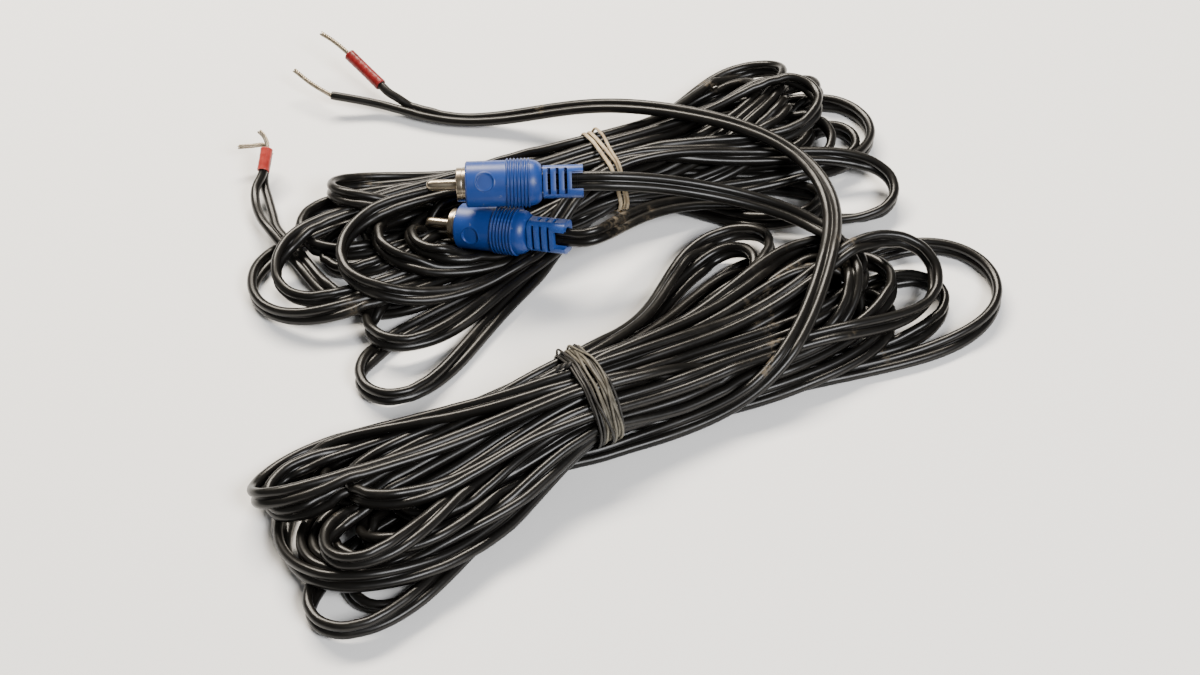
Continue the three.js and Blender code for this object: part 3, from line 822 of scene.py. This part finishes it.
def finished(name, mesh, body, stands_for, smooth_angle):
    mesh.shade_smooth()
    mesh.set_sharp_from_angle(angle=math.radians(smooth_angle))
    made = bpy.data.objects.new(name, mesh)
    bpy.context.scene.collection.objects.link(made)
    if body:
        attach(made, body)
    if stands_for:
        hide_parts(*stands_for)
    return made


def tube_faces(rings, sides, first=0, closed=False):
    """Quads between rings of vertices, with one face over each end of an open tube."""
    ring = np.arange(sides)
    after = (ring + 1) % sides
    faces = []
    for i in range(rings if closed else rings - 1):
        here, there = first + i * sides, first + ((i + 1) % rings) * sides
        faces += np.stack([here + ring, here + after, there + after, there + ring], axis=1).tolist()
    if not closed:
        faces.append((first + ring[::-1]).tolist())
        faces.append((first + (rings - 1) * sides + ring).tolist())
    return faces


def swept(line, width, section, closed=False):
    """The vertices of a section of [across, up] rows, swept along a line with given widths."""
    if closed:
        ahead = unit(np.roll(line, -1, axis=0) - np.roll(line, 1, axis=0))
    else:
        ahead = unit(np.gradient(line, axis=0))
    width = unit(width - ahead * np.einsum("ij,ij->i", width, ahead)[:, None])
    rise = np.cross(ahead, width)
    section = np.asarray(section, float)
    if section.ndim == 2:
        section = np.broadcast_to(section, (len(line), *section.shape))
    rings = line[:, None] + width[:, None] * section[..., :1] + rise[:, None] * section[..., 1:]
    return rings.reshape(-1, 3)


def carried_widths(line, start):
    """Width directions along a line that turn with it and don't spin round it."""
    ahead = unit(np.gradient(line, axis=0))
    width, out = np.array(start, float), []
    for direction in ahead:
        width = width - direction * (width @ direction)
        width /= np.linalg.norm(width)
        out.append(width)
    return np.array(out)


def circle(radius, sides):
    turn = np.arange(sides) * 2 * math.pi / sides
    return np.stack([np.cos(turn), np.sin(turn)], axis=1) * radius


RIB = 1.05              # height of the marking rib, in radii of its core


def flat_section(sides=14):
    """Two touching round cores joined by a narrow web. One core carries a fine marking rib."""
    points = []
    web = math.radians(22)
    for centre, start in ((CORE, -math.pi + web), (-CORE, web)):
        for turn in np.linspace(start, start + 2 * math.pi - 2 * web, sides):
            points.append([centre + CORE * math.cos(turn), CORE * math.sin(turn)])
        if centre < 0:
            middle = len(points) - sides // 2 - 1
            for i in (middle, middle + 1):
                points[i] = [centre + (points[i][0] - centre) * RIB, points[i][1] * RIB]
    return np.array(points)


def turned(profile, plug, sides=96):
    """Vertices and faces of a profile, [along, radius] rows, turned round a plug's axis.

    A profile that starts and ends on the axis makes a closed solid, and any other is a closed loop.
    """
    x, y, z = plug_axes(plug)
    mouth = np.array(plug["mouth"])
    solid = profile[0][1] < 1e-6
    rows = np.array(profile[1:-1] if solid else profile, float)
    turn = np.arange(sides) * 2 * math.pi / sides
    round_ = np.cos(turn)[:, None] * z + np.sin(turn)[:, None] * y
    vertices = (mouth + rows[:, :1] * x)[:, None] + rows[:, 1][:, None, None] * round_[None]
    vertices = vertices.reshape(-1, 3)
    faces = tube_faces(len(rows), sides, closed=not solid)
    if solid:
        faces = faces[:-2]
        for end, ring in ((0, 0), (-1, (len(rows) - 1) * sides)):
            tip = len(vertices)
            vertices = np.vstack([vertices, mouth + profile[end][0] * x])
            for i in range(sides):
                pair = (ring + i, ring + (i + 1) % sides)
                faces.append([tip, *(pair if end else pair[::-1])])
    return vertices, faces


def rounded(corners, radius=0.15, steps=4):
    """A polyline with each inner corner replaced by a small arc."""
    corners = [np.array(c, float) for c in corners]
    out = [corners[0]]
    for before, corner, after in zip(corners[:-2], corners[1:-1], corners[2:]):
        into, away = corner - before, after - corner
        cut = min(radius, np.linalg.norm(into) * 0.45, np.linalg.norm(away) * 0.45)
        start, stop = corner - unit(into) * cut, corner + unit(away) * cut
        for t in np.linspace(0, 1, steps):
            out.append(start * (1 - t) ** 2 + corner * 2 * t * (1 - t) + stop * t * t)
    return np.array(out + [corners[-1]])


# ---------------------------------------------------------------- the cords

hanks = {name: Hank(**shape) for name, shape in HANKS.items()}
routes = [fine_rows(lead_rows(name, hank)) for name, hank in hanks.items()]
leads = Leads(list(hanks.values()), routes, plug_solids())
leads.settle(SETTLE_STEPS)

RING_STEP = 1.7         # distance between rings of the cord's mesh
LOWEST = 0.03           # height of its lowest vertex above the floor


def cord_piece(name, k):
    """The flat cord of a lead as one long mesh, and the centres of its rings."""
    one, two = leads.core_lines(k)
    rows = smooth_pair(one, two, RING_STEP)
    centre, width = rows[:, :3], rows[:, 3:]
    rings = swept(centre, width, flat_section()).reshape(len(centre), -1, 3)
    rings[:, :, 2] += np.clip(LOWEST - rings[:, :, 2].min(axis=1), 0, None)[:, None]
    vertices = rings.reshape(-1, 3)
    faces = tube_faces(len(rings), rings.shape[1])
    replaced = [f"{node}_{name}" for node in ("hank", "plug_cord", "tail_cord")]
    made = piece(f"cord_{name}", vertices, faces, JACKET, f"lead_{name}", replaced)
    return made, centre, width


def smooth_pair(one, two, spacing):
    """Even rows of centre and width direction from the two cores' nodes."""
    rows = np.hstack([(one + two) / 2, unit(one - two)])
    fine = smooth_columns(rows, 4)
    return resampled(fine, spacing)


def smooth_columns(rows, parts):
    """Uniform Catmull-Rom through rows of any width, with parts steps between neighbours."""
    p = np.vstack([2 * rows[0] - rows[1], rows, 2 * rows[-1] - rows[-2]])
    t = (np.arange(parts) / parts)[None, :, None]
    p0, p1, p2, p3 = (p[i:len(p) - 3 + i, None] for i in range(4))
    curve = 0.5 * (2 * p1 + (p2 - p0) * t + (2 * p0 - 5 * p1 + 4 * p2 - p3) * t ** 2
                   + (3 * p1 - p0 - 3 * p2 + p3) * t ** 3)
    return np.vstack([curve.reshape(-1, rows.shape[1]), rows[-1:]])


cords = {name: cord_piece(name, k) for k, name in enumerate(hanks)}

# ---------------------------------------------------------------- split ends

LEG_SIDES = 24
BEND_ROOM = 3.5         # a leg's own points start this far past the split
STRANDS = 7
STRAND_RADIUS = 0.25
STRAND_SPREAD = 0.47    # distance of the outer strands from the middle one
STRAND_TURN = 5.2       # length of one turn of the twist
FRAY = 3.5              # length over which the strands open
SLEEVE_RADIUS = 1.9
SLEEVE_RIM, SLEEVE_BORE = 1.82, 1.52


def leg_piece(name, lead):
    """One insulated leg, from its core at the cord's split to its stripped tip."""
    _, centre, width = cords[lead]
    end, side = centre[-1], width[-1]
    ahead = unit(centre[-1] - centre[-4])
    toward = np.array(LEGS[name][0], float) - end
    core = end + side * CORE * np.sign(toward @ side)
    points = [core - ahead * 0.4, core + ahead * 1.2] + [np.array(p, float) for p in LEGS[name]]
    points = [p for i, p in enumerate(points) if i < 2 or (p - core) @ ahead > BEND_ROOM]
    if name.startswith("marked"):
        points.append(np.array(LEGS[name][-1]) * 0.25 + np.array(TIPS[name][0]) * 0.75)
    line = smooth_line(points, 0.8)
    radius = np.full(len(line), CORE - 0.02)
    radius[-1] -= 0.12
    section = circle(1.0, LEG_SIDES)[None] * radius[:, None, None]
    vertices = swept(line, carried_widths(line, (0.3, 0.2, 1.0)), section)
    faces = tube_faces(len(line), LEG_SIDES)
    node = f"leg_{name}"
    return piece(f"{node}_jacket", vertices, faces, LEG_JACKET, f"lead_{lead}", [node])


def tip_piece(name, lead):
    """Tinned strands twisted together round a middle one, opening slightly at their cut ends."""
    start = np.array(TIPS[name][0], float)
    ahead = unit(np.array(TIPS[name][1], float) - start)
    line = smooth_line([start - ahead * 1.6, *TIPS[name]], 0.25)
    width = carried_widths(line, (0.2, 0.3, 1.0))
    rise = np.cross(unit(np.gradient(line, axis=0)), width)
    s = along(line)
    vertices, faces = [], []
    for strand in range(STRANDS):
        turn = strand * math.pi / 3 + s / STRAND_TURN * 2 * math.pi
        outer = strand < STRANDS - 1
        fray = np.clip((s - s[-1] + FRAY) / FRAY, 0, 1) ** 2 * (0.12 + 0.05 * math.sin(strand * 2.4))
        away = ((STRAND_SPREAD + fray) * outer)[:, None]
        path = line + width * np.cos(turn)[:, None] * away + rise * np.sin(turn)[:, None] * away
        stop = len(path) - int(2 + 3 * abs(math.sin(strand * 1.7)))
        path = path[:stop]
        ring = swept(path, width[:stop], circle(STRAND_RADIUS, 10))
        faces += tube_faces(stop, 10, first=sum(map(len, vertices)))
        vertices.append(ring)
    return piece(f"strands_{name}", np.vstack(vertices), faces, TINNED, f"lead_{lead}",
                 [f"tip_{name}"])


def sleeve_piece(lead):
    """A shrunk marker sleeve with open ends, slightly waisted over the leg inside it."""
    name = f"marked_{lead}"
    first, last = np.array(LEGS[name][-1]), np.array(TIPS[name][0])
    ahead = unit(last - first)
    first, last = first + ahead * 0.6, last - ahead * 0.6
    length = np.linalg.norm(last - first)
    waist, ripple = 0.07, 0.02
    outer = [(t, SLEEVE_RADIUS - waist * math.sin(math.pi * t / length) + ripple * math.sin(t * 2.9))
             for t in np.linspace(0.15, length - 0.15, 46)]
    ends = [(0.0, SLEEVE_BORE), (0.0, SLEEVE_RIM)], [(length, SLEEVE_RIM), (length, SLEEVE_BORE)]
    loop = ends[0] + outer + ends[1]
    line = np.array([first + ahead * t for t, _ in loop])
    width = carried_widths(np.array([first, last]), (0.2, 0.3, 1.0))[0]
    rise = np.cross(ahead, width)
    ring = circle(1.0, 40)
    across = ring[:, :1] * width + ring[:, 1:] * rise
    vertices = line[:, None] + across[None] * np.array([r for _, r in loop])[:, None, None]
    faces = tube_faces(len(loop), 40, closed=True)
    return piece(f"sleeve_{lead}", vertices.reshape(-1, 3), faces, SLEEVE[lead], f"lead_{lead}",
                 [f"marker_sleeve_{lead}"])


# ---------------------------------------------------------------- ties

def round_hull(points):
    """The convex hull of flat points, counter-clockwise."""
    points = sorted(map(tuple, np.round(points, 4)))

    def chain(seq):
        out = []
        for p in seq:
            while len(out) > 1:
                if np.cross(np.subtract(out[-1], out[-2]), np.subtract(p, out[-1])) > 0:
                    break
                out.pop()
            out.append(p)
        return out[:-1]
    return np.array(chain(points) + chain(points[::-1]))


def around_turns(lead, k, at, clearance, sides=96):
    """A closed line round a hank's turns, a clearance off them, at a distance along the hank.

    A turn that another cord has lifted out of the tie doesn't count.
    """
    hank = hanks[lead]
    own = leads.wound & (leads.lead == k)
    u, v = hank.local(leads.p)
    half, rise, middle = hank.oval
    in_tie = np.hypot(v / half, (leads.p[:, 2] - middle) / rise) < 1.12
    close = own & in_tie & (np.abs(u - at) < 3.2)
    ring = circle(CORE + clearance, 24)
    spots = np.stack([v[close], leads.p[close, 2]], axis=1)
    hull = round_hull((spots[:, None] + ring[None]).reshape(-1, 2))
    hull = np.vstack([hull, hull[:1]])
    s = along(np.hstack([hull, np.zeros((len(hull), 1))]))
    t = np.linspace(0, s[-1], sides, endpoint=False)
    loop = np.stack([np.interp(t, s, hull[:, i]) for i in (0, 1)], axis=1)
    for _ in range(2):
        loop = (np.roll(loop, 1, axis=0) + 2 * loop + np.roll(loop, -1, axis=0)) / 4
    return loop


def band_strand(lead, k, at, sway, phase, clearance, size):
    """One turn of a tie: a closed rounded strand that sways along the hank as it goes round."""
    hank = hanks[lead]
    loop = around_turns(lead, k, at, clearance)
    turn = np.arange(len(loop)) * 2 * math.pi / len(loop)
    shift = at + sway * np.sin(turn + phase) + 0.35 * sway * np.sin(3 * turn + phase * 2)
    line = np.array([hank.world(u, v, max(z, 0.5)) for u, (v, z) in zip(shift, loop)])
    width = np.tile(np.append(hank.axis, 0.0), (len(line), 1))
    wide, thick = size
    section = circle(1.0, 12) * [wide / 2, thick / 2]
    return swept(line, width, section, closed=True), tube_faces(len(line), 12, closed=True)


def tie_piece(name, lead, k, strands, material, stands_for=()):
    vertices, faces = [], []
    for strand in strands:
        ring, quads = band_strand(lead, k, *strand)
        start = sum(map(len, vertices))
        faces += (np.array(quads) + start).tolist()
        vertices.append(ring)
    return piece(name, np.vstack(vertices), faces, material, f"lead_{lead}", stands_for)


# Each turn of a tie: its place along the hank, how far it sways along it and from where, how far
# off the turns of cord it lies, and its width and thickness.
TAN_STRANDS = [
    (-1.2, 0.25, 0.4, 0.45, (1.2, 0.8)),
    (0.35, 0.35, 2.1, 0.45, (1.2, 0.8)),
    (1.45, 0.8, 4.4, 1.15, (0.9, 0.75)),
]
GREY_STRANDS = [
    (-1.3, 0.4, 0.3, 0.4, (0.85, 0.7)),
    (-0.2, 0.3, 1.2, 0.4, (0.8, 0.7)),
    (0.75, 0.35, 2.6, 0.4, (0.85, 0.7)),
    (2.6, 0.3, 3.9, 0.4, (0.8, 0.7)),
    (3.3, 0.25, 5.2, 0.4, (0.7, 0.6)),
    (0.1, 1.2, 4.8, 1.0, (0.75, 0.6)),
    (2.0, 1.1, 0.9, 1.0, (0.8, 0.6)),
    (1.0, 1.6, 2.9, 1.55, (0.7, 0.55)),
]
BLACK_STRANDS = [
    (-3.3, 0.2, 1.0, 0.4, (0.75, 0.65)),
    (-2.3, 0.35, 2.2, 0.4, (0.8, 0.65)),
    (1.7, 0.3, 3.3, 0.4, (0.8, 0.65)),
    (-2.6, 0.7, 5.0, 0.95, (0.7, 0.55)),
    (-0.9, 1.5, 0.4, 1.5, (0.7, 0.55)),
    (2.9, 0.8, 2.0, 1.0, (0.7, 0.55)),
]


def twist_piece():
    """The twisted ends of the dark tie, lying along the far shoulder of its hank."""
    hank = hanks["b"]
    loop = around_turns("b", 1, -4.5, 0.9)
    turn = np.arctan2(loop[:, 1] - hank.oval[2], loop[:, 0])
    spot = loop[int(np.argmin(np.abs(turn - math.radians(62))))]
    vertices, faces = [], []
    for strand in range(2):
        path = []
        for t in np.linspace(0, 1, 40):
            twist = t * 3 * math.pi + strand * math.pi
            u = -2.4 - 4.8 * t
            v = spot[0] + 0.42 * math.cos(twist) + 0.9 * t
            z = spot[1] + 0.42 * math.sin(twist) - 0.6 * t
            path.append(hank.world(u, v, z))
        line = np.array(path)
        ring = swept(line, carried_widths(line, (0.1, 0.3, 1.0)), circle(0.4, 10))
        faces += tube_faces(len(line), 10, first=sum(map(len, vertices)))
        vertices.append(ring)
    return piece("tie_b_twist", np.vstack(vertices), faces, BLACK_BAND, "lead_b")


ties = {
    "a": [tie_piece("tie_a_band", "a", 0, TAN_STRANDS, TAN_BAND, ["tie_a"])],
    "b": [
        tie_piece("tie_b_grey", "b", 1, GREY_STRANDS, GREY_BAND, ["tie_b"]),
        tie_piece("tie_b_black", "b", 1, BLACK_STRANDS, BLACK_BAND),
        twist_piece(),
    ],
}

for lead, (cord, centre, _) in cords.items():
    pieces = ties[lead] + [sleeve_piece(lead)]
    for name in (f"marked_{lead}", f"plain_{lead}"):
        pieces += [leg_piece(name, lead), tip_piece(name, lead)]
    pieces += [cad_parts[f"{node}_{lead}"] for node in INSIDE_PLUG]

# ---------------------------------------------------------------- plugs

BOOT_LENGTH = 11.8
BODY_RADIUS = 6.65
WALL_RADIUS = 5.2
RIBS, RIBS_FROM, RIB_PITCH = 7, 15.3, 1.02
RECESS_AT = 28.2
RECESS_RADIUS = 2.4
RECESS_FLOOR = 6.12     # distance of its floor from the plug's axis


def plug_body_piece(lead):
    """The moulded grip: a shoulder, fine ribs and a smooth barrel with a shallow round recess."""
    plug = PLUGS[lead]
    corners = [(BOOT_LENGTH, 3.2), (BOOT_LENGTH, 4.6), (12.0, 5.05), (12.4, 5.5), (12.85, 5.88),
               (13.4, 6.2), (14.0, 6.45), (14.7, 6.6), (15.2, BODY_RADIUS)]
    for i in range(RIBS):
        x = RIBS_FROM + RIB_PITCH * i
        top = BODY_RADIUS + 0.5
        corners += [(x, BODY_RADIUS), (x + 0.06, top), (x + 0.5, top), (x + 0.66, BODY_RADIUS)]
    barrel = [(x, BODY_RADIUS) for x in np.arange(22.6, 33.2, 0.2)]
    corners += barrel + [(33.35, BODY_RADIUS), (33.8, BODY_RADIUS - 0.5), (33.8, WALL_RADIUS),
                         (13.4, WALL_RADIUS), (13.4, 3.2), (BOOT_LENGTH, 3.2)]
    profile = rounded(corners, 0.16, 3)[:-1]
    vertices, faces = turned(profile, plug, 180)
    x, y, z = plug_axes(plug)
    local = vertices - np.array(plug["mouth"])
    ahead, side, up = local @ x - RECESS_AT, local @ y, local @ z
    away = np.hypot(ahead, side)
    outside = (up > 4) & (np.hypot(side, up) > WALL_RADIUS + 0.6)
    sunk = np.clip((RECESS_RADIUS + 0.12 - away) / 0.24, 0, 1)
    drop = np.where(outside, np.clip(up - RECESS_FLOOR, 0, None) * sunk, 0.0)
    rim = np.where(outside, 0.10 * np.exp(-((away - RECESS_RADIUS - 0.35) / 0.16) ** 2), 0.0)
    vertices = vertices + (rim - drop)[:, None] * z
    return piece(f"grip_{lead}", vertices, faces, BLUE, f"plug_{lead}",
                 [f"plug_body_{lead}"], 50)


# The other pieces turned on a plug's axis: the node that each stands for, its material slot, its
# corners as distance from the mouth of the boot and radius, and how they are rounded.
TURNED = {
    "ring": ("collar", "nickel", 96, 0.12, 4, [
        (24.3, 4.15), (24.3, 4.9), (34.6, 4.9), (34.75, 4.82), (34.9, 4.9), (36.25, 4.9), (36.4, 4.7),
        (36.4, 4.25), (36.2, 4.15), (24.3, 4.15)]),
    "pin": ("centre_pin", "nickel", 64, 0.35, 4, [
        (22.5, 0), (22.5, 0.8), (24.6, 0.8), (24.6, 1.6), (36.5, 1.6), (36.6, 1.54), (36.8, 1.6),
        (43.6, 1.6), (44.35, 1.42), (44.85, 1.1), (45.1, 0.6), (45.1, 0)]),
    "disc": ("insulator", "insulator", 72, 0.1, 3, [
        (25, 1.9), (25, 3.85), (33, 3.85), (33, 3.2), (32.7, 3.1), (32.7, 2.5), (33, 2.4), (33, 1.9),
        (25, 1.9)]),
}


def turned_piece(name, lead):
    node, slot, sides, radius, steps, corners = TURNED[name]
    profile = rounded(corners, radius, steps)
    if corners[0] == corners[-1]:
        profile = profile[:-1]
    vertices, faces = turned(profile, PLUGS[lead], sides)
    material = NICKEL[lead] if slot == "nickel" else INSULATOR
    return piece(f"{name}_{lead}", vertices, faces, material, f"plug_{lead}",
                 [f"{node}_{lead}"], 35)


def boot_piece(lead):
    """The slotted strain relief with softened edges."""
    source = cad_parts[f"boot_{lead}"].data
    shape = bmesh.new()
    shape.from_mesh(source)
    bmesh.ops.remove_doubles(shape, verts=shape.verts, dist=0.00001)
    bmesh.ops.dissolve_limit(shape, angle_limit=math.radians(2), verts=shape.verts, edges=shape.edges)
    mesh = bpy.data.meshes.new(f"relief_{lead}")
    shape.to_mesh(mesh)
    shape.free()
    mesh.materials.clear()
    mesh.materials.append(BLUE)
    made = bpy.data.objects.new(f"relief_{lead}", mesh)
    bpy.context.scene.collection.objects.link(made)
    bevel = made.modifiers.new("bevel", "BEVEL")
    bevel.width = 0.22 * MM
    bevel.segments = 3
    bevel.limit_method = "ANGLE"
    bevel.angle_limit = math.radians(35)
    soft = bpy.data.meshes.new_from_object(made.evaluated_get(bpy.context.evaluated_depsgraph_get()))
    bpy.data.objects.remove(made)
    made = finished(f"relief_{lead}", soft, None, [f"boot_{lead}"], 50)
    return bend_with_plug(made)


def bend_with_plug(made):
    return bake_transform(made)


def stub_piece(lead):
    """The end of the cord inside the boot and the grip."""
    plug = PLUGS[lead]
    line = np.array([on_plug_axis(plug, d) for d in np.arange(ENTRY + 0.02, 16.01, 0.5)])
    width = np.tile(cords[lead][2][0], (len(line), 1))
    vertices = swept(line, width, flat_section())
    faces = tube_faces(len(line), len(vertices) // len(line))
    made = piece(f"stub_{lead}", vertices, faces, JACKET, None, [f"cord_in_boot_{lead}"])
    return bend_with_plug(made)


for lead in PLUGS:
    plug_body_piece(lead)
    for part in TURNED:
        turned_piece(part, lead)
    boot_piece(lead)
    stub_piece(lead)
    for node, material in INSIDE_PLUG.items():
        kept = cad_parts[f"{node}_{lead}"]
        kept.data.materials.clear()
        kept.data.materials.append(material)

# ---------------------------------------------------------------- floor and light

def floor_piece():
    mesh = bpy.data.meshes.new("floor")
    far = 3.0
    corners = [(-far, -far, 0), (far, -far, 0), (far, far, 0), (-far, far, 0)]
    mesh.from_pydata(corners, [], [(0, 1, 2, 3)])
    made = bpy.data.objects.new("floor", mesh)
    bpy.context.scene.collection.objects.link(made)
    paint = Paint("floor", (0.93, 0.93, 0.925), 0.8)
    mesh.materials.append(paint.material)


def area_light(name, place, size, power, color):
    """A soft light that faces the origin."""
    light = bpy.data.lights.new(name, "AREA")
    light.shape = "RECTANGLE"
    light.size, light.size_y = size
    light.energy = power
    light.color = color
    made = bpy.data.objects.new(name, light)
    made.location = place
    made.rotation_euler = (-Vector(place)).to_track_quat("-Z", "Y").to_euler()
    bpy.context.scene.collection.objects.link(made)


floor_piece()
area_light("key", (-0.25, 0.75, 0.85), size=(1.0, 0.26), power=40.0, color=(1.0, 0.91, 0.78))
area_light("fill", (0.6, -0.7, 0.9), size=(0.45, 0.45), power=20.0, color=(0.99, 0.99, 1.0))
world = bpy.data.worlds.new("studio")
world.use_nodes = True
world.node_tree.nodes["Background"].inputs["Color"].default_value = (1.0, 0.99, 0.97, 1.0)
world.node_tree.nodes["Background"].inputs["Strength"].default_value = 0.16
bpy.context.scene.world = world
